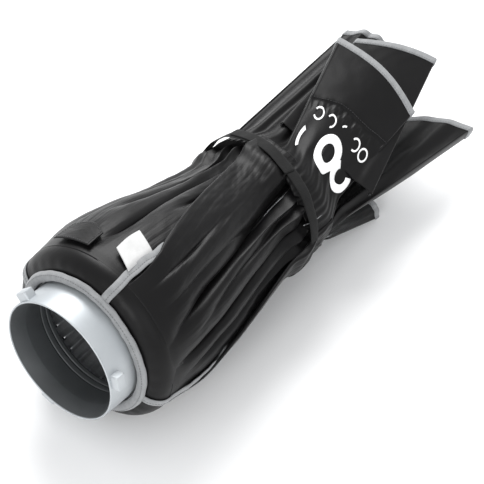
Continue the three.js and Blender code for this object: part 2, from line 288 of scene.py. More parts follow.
def paint_material():
    m = Nodes("silver_paint", Metallic=0.5, Roughness=0.46, Specular_IOR_Level=0.5,
              Coat_Weight=0.1, Coat_Roughness=0.35)
    metal = m.space((1, 1, 1))
    m.colour(m.ramp(m.noise(metal, 16, 4), [(0.3, (0.43, 0.455, 0.475)), (0.7, (0.52, 0.545, 0.56))]))
    m.roughness(m.level(m.noise(metal, 60, 5, 0.6), 0.42, 0.52))
    turning = m.noise(m.space((1, 30, 1)), 34, 2)
    m.bump((m.noise(metal, 700, 2), 0.12, 0.0003), (turning, 0.06, 0.0004))
    return m.material


def sleeve_material():
    m = Nodes("dark_paint", Metallic=0.1, Roughness=0.42, Specular_IOR_Level=0.45)
    metal = m.space((1, 1, 1))
    m.colour(m.ramp(m.noise(metal, 20, 4), [(0.3, (0.056, 0.060, 0.063)), (0.7, (0.074, 0.079, 0.083))]))
    m.roughness(m.level(m.noise(metal, 90, 4), 0.36, 0.52))
    m.bump((m.noise(metal, 900, 2), 0.15, 0.0003), (m.noise(m.space((1, 20, 1)), 40, 2), 0.05, 0.0004))
    return m.material


def steel_material():
    m = Nodes("bright_steel", Metallic=0.95, Roughness=0.34)
    metal = m.space((1, 1, 1))
    m.colour(m.ramp(m.noise(metal, 40, 4), [(0.3, (0.40, 0.41, 0.42)), (0.7, (0.58, 0.59, 0.60))]))
    m.roughness(m.level(m.noise(m.space((30, 1, 30)), 22, 4), 0.26, 0.46))
    m.bump((m.noise(m.space((40, 1, 40)), 30, 3), 0.12, 0.0003))
    return m.material


def moulded_material():
    m = Nodes("black_moulding", Roughness=0.48, Specular_IOR_Level=0.5)
    body = m.space((1, 1, 1))
    m.colour(m.ramp(m.noise(body, 50, 4), [(0.3, (0.010, 0.010, 0.011)), (0.7, (0.020, 0.020, 0.021))]))
    m.roughness(m.level(m.noise(body, 160, 3), 0.4, 0.58))
    m.bump((m.noise(body, 1100, 2), 0.25, 0.0003))
    return m.material


def ink_material():
    m = Nodes("white_ink", Roughness=0.55, Specular_IOR_Level=0.4)
    cloth = m.uv((1, 1, 1))
    worn = m.noise(cloth, 260, 5, 0.7)
    m.colour(m.ramp(worn, [(0.28, (0.60, 0.60, 0.60)), (0.42, (0.86, 0.86, 0.86))]))
    m.roughness(m.level(worn, 0.5, 0.68))
    m.bump((weave(m, 0.0007), 0.25, 0.0002), (worn, 0.15, 0.0004))
    return m.material


def label_material():
    m = Nodes("white_label", Roughness=0.72, Specular_IOR_Level=0.3, Sheen_Weight=0.15, Sheen_Roughness=0.4)
    cloth = m.uv((1, 1, 1))
    m.colour(m.ramp(m.noise(cloth, 70, 4), [(0.3, (0.56, 0.56, 0.555)), (0.7, (0.66, 0.66, 0.655))]))
    m.roughness(m.level(m.noise(cloth, 200, 3), 0.62, 0.8))
    m.bump((m.noise(cloth, 60, 3), 0.3, 0.001), (weave(m, 0.0006), 0.3, 0.0002))
    return m.material


def thread_material(name, colour):
    m = Nodes(name, Roughness=0.6, Specular_IOR_Level=0.4, Sheen_Weight=0.2, Sheen_Roughness=0.5)
    twist = m.wave(m.space((1, 1, 1)), WAVE / 0.0012, 0.5, "DIAGONAL")
    dark = tuple(0.72 * c for c in colour)
    m.colour(m.ramp(twist, [(0.3, dark), (0.7, colour)]))
    m.roughness(m.level(twist, 0.5, 0.7))
    m.bump((twist, 0.3, 0.0003))
    return m.material


NYLON = nylon_material()
LINING = lining_material()
BINDING = tape_material("grey_binding", (0.20, 0.205, 0.21), (0.33, 0.335, 0.34))
WEBBING = tape_material("black_webbing", (0.004, 0.004, 0.004), (0.010, 0.010, 0.010), 0.0016, 0.04)
PAINT = paint_material()
SLEEVE = sleeve_material()
STEEL = steel_material()
MOULDED = moulded_material()
INK = ink_material()
LABEL = label_material()
DARK_THREAD = thread_material("dark_thread", (0.10, 0.10, 0.105))
BLACK_THREAD = thread_material("black_thread", (0.035, 0.035, 0.037))


# ---- Meshes ---------------------------------------------------------------------------------------
def build(name, vertices, faces, uvs, materials, slot):
    """A smooth-shaded object from row-frame vertices, with its flat-cloth coordinates in metres."""
    mesh = bpy.data.meshes.new(name)
    mesh.from_pydata(vertices.reshape(-1, 3).tolist(), [], faces)
    flat = mesh.uv_layers.new(name="flat")
    corner = np.zeros(len(mesh.loops), int)
    mesh.loops.foreach_get("vertex_index", corner)
    flat.data.foreach_set("uv", np.asarray(uvs, float).reshape(-1, 2)[corner].ravel())
    mesh.polygons.foreach_set("use_smooth", [True] * len(mesh.polygons))
    for material in materials:
        mesh.materials.append(material)
    obj = bpy.data.objects.new(name, mesh)
    bpy.context.scene.collection.objects.link(obj)
    return obj


def quads(rows, columns, loop_rows=False, loop_columns=False, flip=False):
    faces = []
    for j in range(rows if loop_rows else rows - 1):
        for i in range(columns if loop_columns else columns - 1):
            a, b = j * columns + i, j * columns + (i + 1) % columns
            c, d = (j + 1) % rows * columns + (i + 1) % columns, (j + 1) % rows * columns + i
            faces.append((a, d, c, b) if flip else (a, b, c, d))
    return faces


def lengths(points, axis):
    """Running length along one axis of a grid, in the grid's own units."""
    step = np.linalg.norm(np.diff(points, axis=axis), axis=-1)
    start = np.zeros_like(np.take(step, [0], axis))
    return np.concatenate([start, np.cumsum(step, axis)], axis)


def settle(obj):
    """Applies the object's modifiers to its mesh."""
    graph = bpy.context.evaluated_depsgraph_get()
    final = bpy.data.meshes.new_from_object(obj.evaluated_get(graph))
    obj.modifiers.clear()
    obj.data = final
    final.name = obj.name
    return obj


def cloth(name, points, slot="black_nylon", outside=NYLON, inside=LINING, thick=CLOTH, flip=False,
          loop=False):
    """A sheet of cloth through a grid of points, lined on its inner side."""
    p = world(points)
    rows, columns = p.shape[:2]
    uvs = np.stack([lengths(p, 1), lengths(p, 0)], -1)
    obj = build(name, p, quads(rows, columns, False, loop, flip), uvs, [outside, inside], slot)
    solid = obj.modifiers.new("thickness", "SOLIDIFY")
    solid.thickness = thick / 1000
    solid.offset = -1
    solid.material_offset = 1
    solid.material_offset_rim = 0
    return settle(obj)


def sweep(name, path, across, out, section, material, slot, loop=False):
    """A closed strip: section is a ring of (across, out) offsets carried along the path."""
    ring = np.array(section, float)
    p = path[:, None] + across[:, None] * ring[None, :, :1] + out[:, None] * ring[None, :, 1:]
    p = world(p)
    around = np.linalg.norm(np.roll(ring, -1, 0) - ring, axis=1).cumsum() / 1000
    along = lengths(p, 0)[:, :1]
    uvs = np.stack(np.broadcast_arrays(around[None], along), -1)
    count, sides = p.shape[:2]
    faces = quads(count, sides, loop, True)
    if not loop:
        faces.append(tuple(reversed(range(sides))))
        faces.append(tuple(range((count - 1) * sides, count * sides)))
    return build(name, p, faces, uvs, [material], slot)


def lens(width, thick, sides=10, base=0.25):
    """A flat section with rounded edges, standing thick above its path."""
    angles = np.arange(sides) / sides * 2 * math.pi
    a = np.sign(np.cos(angles)) * np.abs(np.cos(angles)) ** 0.6 * width / 2
    b = np.sign(np.sin(angles)) * np.abs(np.sin(angles)) ** 0.8 * thick / 2 + thick * base
    return list(zip(a, b))


def stitches(name, path, out, material, slot, pitch=3.0, length=2.0, radius=0.28, width=1.0):
    """Thread that shows as short rounded stitches along a path."""
    run = np.concatenate([[0], np.cumsum(np.linalg.norm(np.diff(path, axis=0), axis=1))])
    sides, rings = 5, ((-0.5, 0.35), (-0.3, 1.0), (0.3, 1.0), (0.5, 0.35))
    vertices, faces = [], []
    for centre in np.arange(pitch / 2, run[-1], pitch):
        at = np.array([np.interp(centre, run, path[:, c]) for c in range(3)])
        ahead = np.array([np.interp(centre + 0.5, run, path[:, c]) for c in range(3)])
        back = np.array([np.interp(centre - 0.5, run, path[:, c]) for c in range(3)])
        normal = np.array([np.interp(centre, run, out[:, c]) for c in range(3)])
        along = unit(ahead - back)
        side = unit(np.cross(along, normal))
        normal = np.cross(side, along)
        first = len(vertices)
        for place, fat in rings:
            for k in range(sides):
                t = 2 * math.pi * k / sides
                ring = side * math.cos(t) * width + normal * math.sin(t)
                vertices.append(at + along * place * length + ring * fat * radius)
        for j in range(len(rings) - 1):
            for k in range(sides):
                a, b = first + j * sides + k, first + j * sides + (k + 1) % sides
                faces.append((a, b, b + sides, a + sides))
        faces.append(tuple(first + k for k in reversed(range(sides))))
        faces.append(tuple(first + (len(rings) - 1) * sides + k for k in range(sides)))
    p = world(np.array(vertices))
    return build(name, p, faces, p[:, :2], [material], slot)


def turned(name, profile, material, slot, segments=144, wobble=None):
    """A body turned about the bundle's axis from a closed [radius, y] profile."""
    ring = np.array(profile, float)
    t = np.arange(segments) / segments * 2 * math.pi
    r, y = ring[None, :, 0], ring[None, :, 1]
    if wobble is not None:
        r, y = wobble(t[:, None], r, y)
    p = world(stack(r * np.cos(t)[:, None], y, r * np.sin(t)[:, None]))
    around = np.linalg.norm(np.roll(ring, -1, 0) - ring, axis=1).cumsum() / 1000
    uvs = np.stack(np.broadcast_arrays(around[None], (t * ring[:, 0].mean() / 1000)[:, None]), -1)
    return build(name, p, quads(segments, len(ring), True, True, True), uvs, [material], slot)


def rounded(corners, radius, steps=4):
    """A closed profile with each corner rounded off."""
    pts = [np.array(c, float) for c in corners]
    out = []
    for before, at, after in zip(pts[-1:] + pts[:-1], pts, pts[1:] + pts[:1]):
        size = min(radius, 0.45 * np.linalg.norm(before - at), 0.45 * np.linalg.norm(after - at))
        a, b = at + unit(before - at) * size, at + unit(after - at) * size
        for k in range(steps + 1):
            t = k / steps
            out.append((1 - t) ** 2 * a + 2 * t * (1 - t) * at + t * t * b)
    return out


def dress(nodes, material):
    """Gives CAD nodes that keep their shape their finish, and smooths their round faces."""
    for name in nodes:
        obj = frame["nodes"][name]
        obj.data.materials.clear()
        obj.data.materials.append(material)
        obj.data.set_sharp_from_angle(angle=math.radians(35))
        obj.data.polygons.foreach_set("use_smooth", [True] * len(obj.data.polygons))


# ---- Ring -----------------------------------------------------------------------------------------
def lug_block(angle):
    """A bayonet lug as octagonal rings of points, from its foot inside the wall out to its crown."""
    t = math.radians(angle)
    outwards = np.array([math.cos(t), 0, math.sin(t)])
    sideways = np.array([-math.sin(t), 0, math.cos(t)])
    rings = []
    for height, inset in ((-2.0, 0.0), (LUG_OUT - 1.3, 0.0), (LUG_OUT - 0.4, 0.4), (LUG_OUT, 1.3)):
        wide, long, cut = LUG_WIDTH / 2 - inset, LUG_LENGTH / 2 - inset, 1.3
        outline = [(wide, cut - long), (wide, long - cut), (wide - cut, long), (cut - wide, long),
                   (-wide, long - cut), (-wide, cut - long), (cut - wide, -long), (wide - cut, -long)]
        centre = outwards * (RING_R + height) + np.array([0, LUG_FROM + LUG_LENGTH / 2, 0])
        rings.append([centre + sideways * a + np.array([0, b, 0]) for a, b in outline])
    return np.array(rings)


def make_ring():
    inner = RING_R - RING_WALL
    back = RING_DEPTH + 3
    wall = rounded([(inner, TAPER_FROM), (inner + TAPER_OUT, 0.5), (inner + TAPER_OUT + 0.2, 0), (RING_R, 0),
                    (RING_R, RING_DEPTH), (FLANGE_R, RING_DEPTH), (FLANGE_R, back), (inner, back)], 1.0)
    ring = turned("bayonet_ring", wall, PAINT, "silver_paint", 192)
    pieces = [ring]
    for k in range(3):
        rings = lug_block(LUG_FIRST + 120 * k)
        count, sides = rings.shape[:2]
        faces = quads(count, sides, False, True)
        faces.append(tuple((count - 1) * sides + i for i in range(sides)))
        faces.append(tuple(reversed(range(sides))))
        p = world(rings)
        lug = build(f"bayonet_lug_{k + 1}", p, faces, p[..., :2], [PAINT], "silver_paint")
        lug.data.set_sharp_from_angle(angle=math.radians(30))
        pieces.append(lug)
    for piece in pieces:
        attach(piece, "bayonet")
    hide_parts("mount_ring")


def make_sleeve():
    outside = [(LINER_OUT, LINER_TO), (LINER_OUT, TAPER_FROM), (LINER_OUT + TAPER_OUT, 0.9),
               (LINER_OUT + TAPER_OUT - 0.3, 0.6)]
    floor, grooves = LINER_IN + 0.9, []
    for y in (39.5, 46.5):
        grooves += [(LINER_IN, y - 0.9), (floor, y - 0.4), (floor, y + 0.4), (LINER_IN, y + 0.9)]
    profile = rounded(outside + [(LINER_IN, TAPER_FROM + 2)] + grooves + [(LINER_IN, LINER_TO)], 0.5, 2)
    sleeve = turned("ring_sleeve", profile, SLEEVE, "dark_paint", 160)
    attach(sleeve, "bayonet")
    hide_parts("ring_liner")


# ---- Collar and shoulder ----------------------------------------------------------------------------
def make_collar():
    """The rolled binding round the opening: a soft flattened roll with a thin outer lip, a little creased."""
    half, deep = COLLAR_SECTION
    section = []
    for t in np.arange(20) / 20 * 2 * math.pi:
        lip = 1.1 * math.exp(-((t - 0.35) / 0.35) ** 2)
        section.append((COLLAR_R + (half + lip) * math.cos(t), COLLAR_Y + (deep + 0.6 * lip) * math.sin(t)))

    def wobble(t, r, y):
        pull = 0.5 * np.sin(5 * t + 1) + 0.3 * np.sin(13 * t) + 0.2 * np.sin(29 * t + 2)
        crease = np.exp(-np.abs(np.sin(6.5 * t + 1.1 + (r - COLLAR_R) * 0.12)) * 14)
        front = np.clip((COLLAR_Y - y) / deep, 0, 1)
        return r + 0.45 * pull, y + 0.55 * pull + 0.9 * crease * front

    binding = turned("collar_roll", section, BINDING, "grey_binding", 300, wobble)
    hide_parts("collar_binding")
    t = np.linspace(0, 2 * math.pi, 361)
    r = COLLAR_R + half * 0.62
    path = stack(r * np.cos(t), COLLAR_Y - deep * 0.86, r * np.sin(t))
    out = stack(0.45 * np.cos(t), -1, 0.45 * np.sin(t))
    thread = stitches("collar_stitches", path, unit(out), DARK_THREAD, "grey_binding", 3.4, 2.2)
    for piece in (binding, thread):
        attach(piece, "hub")


def make_shoulder():
    """The smooth cloth that turns from the collar round to the drum, pulled into small puckers."""
    t = np.linspace(0, 360, 289)[:-1]
    rows = []
    for s in np.linspace(0, 1, 15):
        a = s * math.pi / 2
        rows.append((COVER_IN - 3 + (DRUM_R - 0.4 - COVER_IN + 3) * math.sin(a),
                     COVER_BEND - (COVER_BEND - COVER_FRONT) * math.cos(a)))
    rows += [(DRUM_R - 0.9, 62), (DRUM_R - 2.2, 66), (DRUM_R - 2.8, 71), (DRUM_R - 3.0, COVER_BACK)]
    r, y = np.array(rows).T
    az = np.radians(t)[None]
    near = 1 - smooth(r[:, None], COVER_IN - 3, DRUM_R)
    pucker = near * (1 - near) * 2.2 * (np.sin(34 * az) + 0.6 * np.sin(21 * az + 1.3))
    sag = 0.5 * np.sin(5 * az + 0.8) * (1 - near)
    radius = r[:, None] + 0.25 * pucker + 0.3 * sag - 0.3
    points = stack(radius * np.cos(az), y[:, None] + 0.45 * pucker, radius * np.sin(az))
    shoulder = cloth("shoulder_cloth", points, flip=True, loop=True)
    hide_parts("hub_cover")
    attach(shoulder, "hub")


def make_bore_lining():
    """The silver inside of the folded cloth, seen through the ring: pleats drawn in towards the strap."""
    t = np.linspace(0, 2 * math.pi, 721)[:-1][None]
    y = np.linspace(56, 176, 40)[:, None]
    run = (y - 56) / 120
    ridge = np.abs(np.cos(13 * t + 0.9 * np.sin(3 * t + 2 * run))) ** 9 * (0.65 + 0.35 * np.sin(5 * t + 1))
    radius = 76 - 18 * run - (11.0 + 4.0 * run) * ridge
    points = stack(radius * np.cos(t), y, radius * np.sin(t))
    lining = cloth("bore_lining", points, "black_nylon", NYLON, LINING, flip=True, loop=True)
    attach(lining, "hub")


# ---- Skirt ----------------------------------------------------------------------------------------
# Each fold is (degrees from the seam at the drum, and at the strap; how it drifts; where it starts, mm;
# depth, mm; half width, mm; how far its upper lip hangs over it, as a share of its depth).
SKIRT_LOOK = [
    {"pleats": 11, "seed": 1.0, "flat": (0.30, 0.28), "area": 0.056, "folds": [
        (41.3, 80.0, 0.85, 52, 18, 7.0, 0.50), (25.3, 47.0, 1.30, 50, 17, 7.0, 0.50),
        (74.5, 96.0, 1.00, 62, 6, 4.5, 0.50), (64.0, 84.0, 1.80, 60, 9, 5.5, 0.45),
        (53.0, 74.0, 1.20, 75, 7, 5.0, 0.45), (33.0, 64.0, 1.00, 88, 9, 5.5, 0.37),
        (12.0, 30.0, 1.20, 66, 12, 6.5, 0.50), (85.0, 108.0, 1.00, 150, 4, 4.5, 0.30)]},
    {"pleats": 10, "seed": 2.6, "flat": (0.34, 0.28), "area": 0.068, "folds": [
        (30.0, 42.0, 1.00, 62, 15, 8.0, 0.56), (48.0, 58.0, 1.00, 120, 16, 7.5, 0.50),
        (66.0, 74.0, 1.00, 84, 15, 8.0, 0.56), (82.0, 88.0, 1.00, 150, 12, 6.0, 0.50),
        (16.0, 26.0, 1.00, 150, 10, 6.0, 0.37)]},
    {"pleats": 9, "seed": 4.1, "flat": (0.30, 0.28), "area": 0.056, "folds": [
        (20.0, 30.0, 1.00, 90, 14, 8.0, 0.56), (42.0, 52.0, 1.10, 66, 17, 8.5, 0.56),
        (64.0, 74.0, 1.00, 100, 14, 8.0, 0.50)]},
    {"pleats": 10, "seed": 5.3, "flat": (0.34, 0.28), "area": 0.068, "folds": [
        (18.0, 26.0, 1.00, 80, 15, 8.0, 0.50), (38.0, 48.0, 1.00, 100, 17, 8.5, 0.56),
        (58.0, 66.0, 1.10, 66, 16, 8.0, 0.56), (76.0, 84.0, 1.00, 90, 14, 7.0, 0.56)]},
]
FOLD_UNDER, CREASE = 0.16, 0.18  # share of a panel that turns under its crease, and of that, the round turn
CREASE_RADIUS = 1.7
SEAM_SHOWS, SEAM_COVERED = 3.8, (78, 128)  # degrees of binding seen by the drum, and where that ends


def lap_reach(y):
    return np.clip((np.minimum(y, LAP_TO) - LAP_FROM) / (LAP_TO - LAP_FROM), 0, None)


def strap_middle(azimuth):
    return STRAP_MIDDLE + STRAP_TILT * np.cos(np.radians(azimuth - STRAP_FURTHEST))


def cinch(azimuth, y):
    """How cloth swells out just before and after the strap, and is held in under it, in millimetres."""
    off = y - strap_middle(azimuth)
    swell = 6.4 * np.exp(-((off + 15) / 12) ** 2) + 3.0 * np.exp(-((off - 18) / 10) ** 2)
    return swell + 3.0 * np.exp(-(off / 9) ** 2)


def skirt_points(k, columns=290, rows=150):
    """A tapered panel drawn into deep folds that run to the strap, and creased over its neighbour."""
    look, lap = SKIRT_LOOK[k], PANELS[k]["lap"]
    seed, start = look["seed"], SEAM_FIRST + 90 * k
    t = np.linspace(0, 1, columns)[None]
    y = np.linspace(SKIRT_FROM, SKIRT_TO, rows)[:, None]
    crease = start + 90 + lap * lap_reach(y) - SEAM_SHOWS * (1 - smooth(y, *SEAM_COVERED))
    seam_share = 90 / (crease - start)
    under = np.clip((t - 1 + FOLD_UNDER) / FOLD_UNDER, 0, 1)
    turn = math.pi * np.clip(under / CREASE, 0, 1)
    back = np.clip((under - CREASE) / (1 - CREASE), 0, 1)
    u = np.clip(t / (1 - FOLD_UNDER), 0, 1) - back * (1.01 - seam_share)
    degrees = (crease - start) * u
    radius = np.radians(lerp(DRUM_R, 68, smooth(y, DRUM_END, WAIST_Y)))
    own = smooth(u, 0, 0.06) * (1 - smooth(u, seam_share - 0.10, seam_share + 0.02))
    drop, shift = 0 * degrees, 0 * degrees
    for first, last, drift, begins, depth, width, lip in look["folds"]:
        run = np.clip((y - SKIRT_FROM) / (WAIST_Y - SKIRT_FROM), 0, 1.1)
        middle = first + (last - first) * run ** drift + 1.2 * np.sin(y / 31 + seed + first)
        away = (degrees - middle) * radius
        grown = smooth(y, begins, begins + 75) * (0.8 + 0.2 * np.sin(y / 47 + first)) * own
        drop = drop + depth * grown * np.exp(-np.abs(away / width) ** 1.35)
        hang = 0.75 * (1 - 0.6 * smooth(run, 0.6, 1.0)) * lip * depth * grown
        shift = shift - hang * np.exp(-((away - 0.55 * width) / width) ** 2)
    wander = 0.5 * ripple(u * 0.6, y / 700, seed + 3)
    phase = 2 * math.pi * (look["pleats"] * u + wander)
    late = smooth(y, 165, 300) * own
    size = 4.8 * late * (0.7 + 0.3 * np.sin(11 * u + seed))
    drop = drop + size * (0.5 - 0.5 * np.cos(phase))
    shift = shift - 0.38 * size * np.sin(phase)
    settled = smooth(y, 60, 110)
    azimuth = start + degrees + (shift + CREASE_RADIUS * np.sin(turn) * settled) / radius
    creep = ripple(u * 5, y / 75, seed + 7) * smooth(y, 110, 290) * 0.55
    creep = creep + 0.5 * ripple(u * 2.2, y / 120, seed + 2) + 0.25 * ripple(u * 15, y / 190, seed + 9)
    layered = LAYER_RISE * u ** 2 + 1.3 * smooth(u, 0.9, 1.0)
    lifted = 0.9 * smooth(y, SKIRT_FROM, 70) - 0.65 + layered * settled
    lifted = lifted - smooth(y, 58, 74) * (CREASE_RADIUS * (1 - np.cos(turn)) + 1.0 * under)
    tuck = 10 * smooth(y, 330, SKIRT_TO) ** 1.5
    held = cinch(azimuth, y) * (1 - 0.75 * smooth(under, 0, 0.1))
    return hull(azimuth, y, lifted + held + creep * settled - drop - tuck)


def blend_ends(k, across_x, across_z):
    """Two points at y 300, towards rib k's corner and the next rib's corner, turned with the hub's roll, in
    row-frame metres.
    """
    sx, sz = PANELS[k]["corner"]
    nx, nz = PANELS[(k + 1) % 4]["corner"]
    start = world(rolled(sx * across_x, 300, sz * across_z))
    end = world(rolled(nx * across_x, 300, nz * across_z))
    return start, end


def make_skirt(k):
    name, look = PANELS[k]["name"], SKIRT_LOOK[k]
    panel = cloth(f"skirt_{name}", skirt_points(k), flip=True)
    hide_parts(f"skirt_panel_{name}")
    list(blend_ends(k, 29, 44))
    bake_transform(panel)


def make_seam(k, width=10.5):
    """The grey binding over the seam at a rib: round the shoulder, then along until the panel laps it."""
    azimuth = SEAM_FIRST + 90 * k
    turn = math.radians(azimuth)
    s = np.linspace(0.05, math.pi / 2, 12)[:-1]
    shoulder = [(COVER_IN - 3 + (DRUM_R - COVER_IN + 3) * math.sin(a),
                 COVER_BEND - (COVER_BEND - COVER_FRONT + 1.0) * math.cos(a)) for a in s]
    ys = np.linspace(COVER_BEND, 178, 60)
    rise = 0.2 + 2.8 * smooth(ys, 60, 90) - 6.0 * smooth(ys, 124, 165)
    path = [(r * math.cos(turn), y, r * math.sin(turn)) for r, y in shoulder]
    path = np.concatenate([np.array(path), hull(azimuth, ys, rise)])
    run = np.linspace(0, 1, len(path))
    side = np.tile([-math.sin(turn), 0, math.cos(turn)], (len(path), 1))
    sway = 1.6 * smooth(run, 0.1, 0.3) * (1 - smooth(run, 0.3, 0.5)) + 0.5 * np.sin(34 * run + k)
    path = path + side * sway[:, None]
    out = unit(np.cross(unit(np.gradient(path, axis=0)), side))
    out = out * np.sign((out * [math.cos(turn), -0.3, math.sin(turn)]).sum(1))[:, None]
    path = path + out * (0.15 * np.sin(60 * run + k))[:, None]
    half = width / 2
    section = [(-half, 0.2), (-half + 0.7, 1.0), (-half * 0.45, 1.25), (-half * 0.2, 0.85), (0, 1.3),
               (half * 0.5, 1.5), (half - 0.7, 1.2), (half, 0.2), (half - 0.7, -0.4), (-half + 0.7, -0.4)]
    band = sweep(f"seam_binding_{k + 1}", path, side, out, section, BINDING, "grey_binding")
    edge = path + side * (-half * 0.2) + out * 1.0
    thread = stitches(f"seam_stitches_{k + 1}", edge, out, DARK_THREAD, "grey_binding")
    start, end = world([0, 55, 0]), world([0, 95, 0])
    for piece in (band, thread):
        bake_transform(piece)
        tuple(start)
        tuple(end)


# ---- Walls between the ribs, ahead of the strap ------------------------------------------------------
WALL_FLAT = [((0.30, 0.20), 0.047), ((0.45, 0.20), 0.066), ((0.30, 0.20), 0.047), ((0.45, 0.20), 0.066)]


def make_wall(k):
    name = PANELS[k]["name"]
    y = np.linspace(WALL_FROM, RIM_Y, 70)[:, None]
    u = np.linspace(0, 1, 130)[None]
    a, b = rib_line(k, y), rib_line((k + 1) % 4, y)
    middle = (a + b) * np.array([1, 0, 1])
    out = unit(middle)
    across = unit(b - a)
    span = np.linalg.norm(b - a, axis=-1)
    pleats = 9
    phase = 2 * math.pi * (pleats * u + 0.08 * ripple(u, y / 200, k + 1.0))
    depth = (18.0 if k % 2 else 13.0) + 2 * np.sin(3 * u + k)
    flat = a * (1 - (0.06 + 0.88 * u))[..., None] + b * (0.06 + 0.88 * u)[..., None]
    skew = 1.2 * span / pleats / (2 * math.pi) * np.sin(phase)
    lift = -1.0 - depth * (0.5 - 0.5 * np.cos(phase)) + 1.2 * np.sin(math.pi * u)
    points = flat + across * skew[..., None] + out * lift[..., None]
    wall = cloth(f"wall_{name}", points, flip=True)
    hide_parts(f"wall_panel_{name}")
    ends = blend_ends(k, 7.5, 30)
    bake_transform(wall)
    flat_size, area = WALL_FLAT[k]


# ---- Loose flaps ahead of the strap ------------------------------------------------------------------
# waist and rim are the two ends of each flap's edges, as (x, z, y). Flats are (width, length) in metres.
FLAPS = {
    "right": {"waist": [(69, 21, 344), (5, 59, 344)], "rim": [(55, 40, 497), (-45, 85, 492)], "bow": 8,
              "bulge": 5, "tied": (6, 84), "curl": (14, 16), "seed": 1.3, "bunch": 0, "flat": (0.16, 0.19)},
    "top": {"waist": [(74, 24, 426), (-25, 63, 400)], "rim": [(24, 46, 576), (-43, 66, 524)], "bow": 4,
            "bulge": 4, "tied": None, "curl": (14, 12), "seed": 2.2, "bunch": 0, "flat": (0.12, 0.17)},
    "side": {"waist": [(10, 55, 344), (-66, 31, 344)], "rim": [(-28, 43, 560), (-70, 51, 541)], "bow": 9,
             "bulge": 2, "tied": (80, 160), "curl": (10, 20), "seed": 3.7, "bunch": 5, "flat": (0.11, 0.24)},
    "low": {"waist": [(48, -14, 344), (76, -4, 344)], "rim": [(28, -6, 524), (88, -12, 568)], "bow": 5,
            "bulge": 3, "tied": (18, -34), "curl": (8, 14), "seed": 4.4, "bunch": 2, "flat": (0.09, 0.22)},
    "corner": {"waist": [(38, -50, 340), (66, -34, 340)], "rim": [(50, -60, 444), (62, -77, 444)], "bow": 3,
               "bulge": 1, "tied": (-28, -66), "curl": (5, 6), "seed": 5.9, "bunch": 1, "flat": (0.06, 0.13)},
    "floor": {"waist": [(-50, -48, 344), (20, -62, 344)], "rim": [(-46, -66, 520), (26, -68, 520)], "bow": -3,
              "bulge": 3, "tied": (222, 290), "curl": (5, 5), "seed": 6.5, "bunch": 2, "flat": (0.10, 0.20)},
}
FLAP_SPILL, FLAP_TUCK = 0.14, 0.28  # how far a flap runs on past its edges, and back under the strap
PRINT_SEAM = (0.62, 0.46)  # where a sewn line crosses the right flap, from its first edge to its second
PRINT_WIDTH, PRINT_LENGTH, PRINT_LIFT = 96.0, 150.0, 0.55  # the right flap's size under its print
PRINT_MARKS = [(0.10, 360), (0.25, 250), (0.45, 60), (0.66, 230), (0.84, 300)]  # across, and degrees


def flap_frame(flap):
    corner = [np.array([x, y, z], float) for x, z, y in flap["waist"] + flap["rim"]]
    w0, w1, r0, r1 = corner
    out = unit(np.cross([0, 1, 0], r1 - r0))
    if (out[2] < 0) != (flap is FLAPS["floor"]):
        out = -out
    return w0, w1, r0, r1, out


def seam_wave(u):
    return 0.012 * np.sin(9 * u + 2)


def flap_surface(flap, u, v):
    """A point of a flap: u across from its first edge to its second, v from the strap to the rim."""
    w0, w1, r0, r1, out = flap_frame(flap)
    first, second = flap["curl"]
    inside = np.clip(u, 0, 1)
    beyond = u - inside
    near = w0 + (w1 - w0) * inside[..., None]
    swell = flap["bulge"] * 4 * inside * (1 - inside)
    far = r0 + (r1 - r0) * inside[..., None] + np.array([0, 1, 0]) * swell[..., None]
    p = near + (far - near) * v[..., None]
    arch = lerp(11.0 if flap["tied"] else flap["bow"], flap["bow"], smooth(v, 0, 0.7))
    p = p + out * (arch * np.sin(math.pi * inside))[..., None]
    gather = (1 - smooth(v, -0.05, 0.5)) ** 1.3
    pleats = np.sin(2 * math.pi * (4.3 * u + 0.12 * ripple(u, v, flap["seed"])))
    crumple = 0.55 * ripple(u * 1.1, v * 1.2, flap["seed"] + 1)
    crumple = crumple + flap["bunch"] * (1 - 0.6 * v) * np.cos(2 * math.pi * (2.6 * u + 0.25 * v))
    if flap is FLAPS["right"]:
        past = v - lerp(*PRINT_SEAM, u) - seam_wave(u)
        puckers = np.exp(-((past + 0.05) / 0.055) ** 2) * ripple(u * 6, v * 2.5, 8.0)
        crumple = crumple + 2.0 * smooth(past, -0.012, 0.012) - 0.9 * np.exp(-(past / 0.02) ** 2)
        crumple = crumple + 1.5 * puckers
    p = p + out * ((1.5 * gather * pleats + crumple) * (1 - 0.5 * np.abs(2 * inside - 1)))[..., None]
    across = unit(r1 - r0)
    reach = np.where(beyond < 0, first, second) * (0.5 + 0.5 * smooth(v, 0.0, 0.6))
    turn = np.clip(np.abs(beyond) / FLAP_SPILL, 0, 1)
    bend = np.sin(turn * math.pi / 2)
    p = p + across * (np.sign(beyond) * 2.5 * np.sin(turn * math.pi))[..., None]
    return p - out * (reach * (1 - np.cos(turn * math.pi / 2)) * bend)[..., None]


def neck_in(flap, p, u, v):
    """Draws a flap's near end in under the strap."""
    azimuth = lerp(*flap["tied"], np.clip(u, -0.05, 1.05))
    y = np.maximum(p[..., 1], strap_middle(azimuth) - 5)
    tied = hull(azimuth, y, 4.6 + 0.5 * np.sin(azimuth * 0.9) - 7.0 * smooth(-v, 0.20, FLAP_TUCK))
    share = 1 - smooth(v, -0.14, 0.08)
    return p + (tied - p) * share[..., None]


def flap_points(flap, u, v):
    p = flap_surface(flap, u, v)
    return neck_in(flap, p, u, v) if flap["tied"] else p


def flap_grid(columns=110, rows=130):
    u = np.linspace(-FLAP_SPILL, 1 + FLAP_SPILL, columns)[None]
    v = np.linspace(-FLAP_TUCK, 1, rows)[:, None]
    return np.broadcast_arrays(u, v)


def normals(p):
    n = np.cross(np.gradient(p, axis=1), np.gradient(p, axis=0))
    return unit(n)


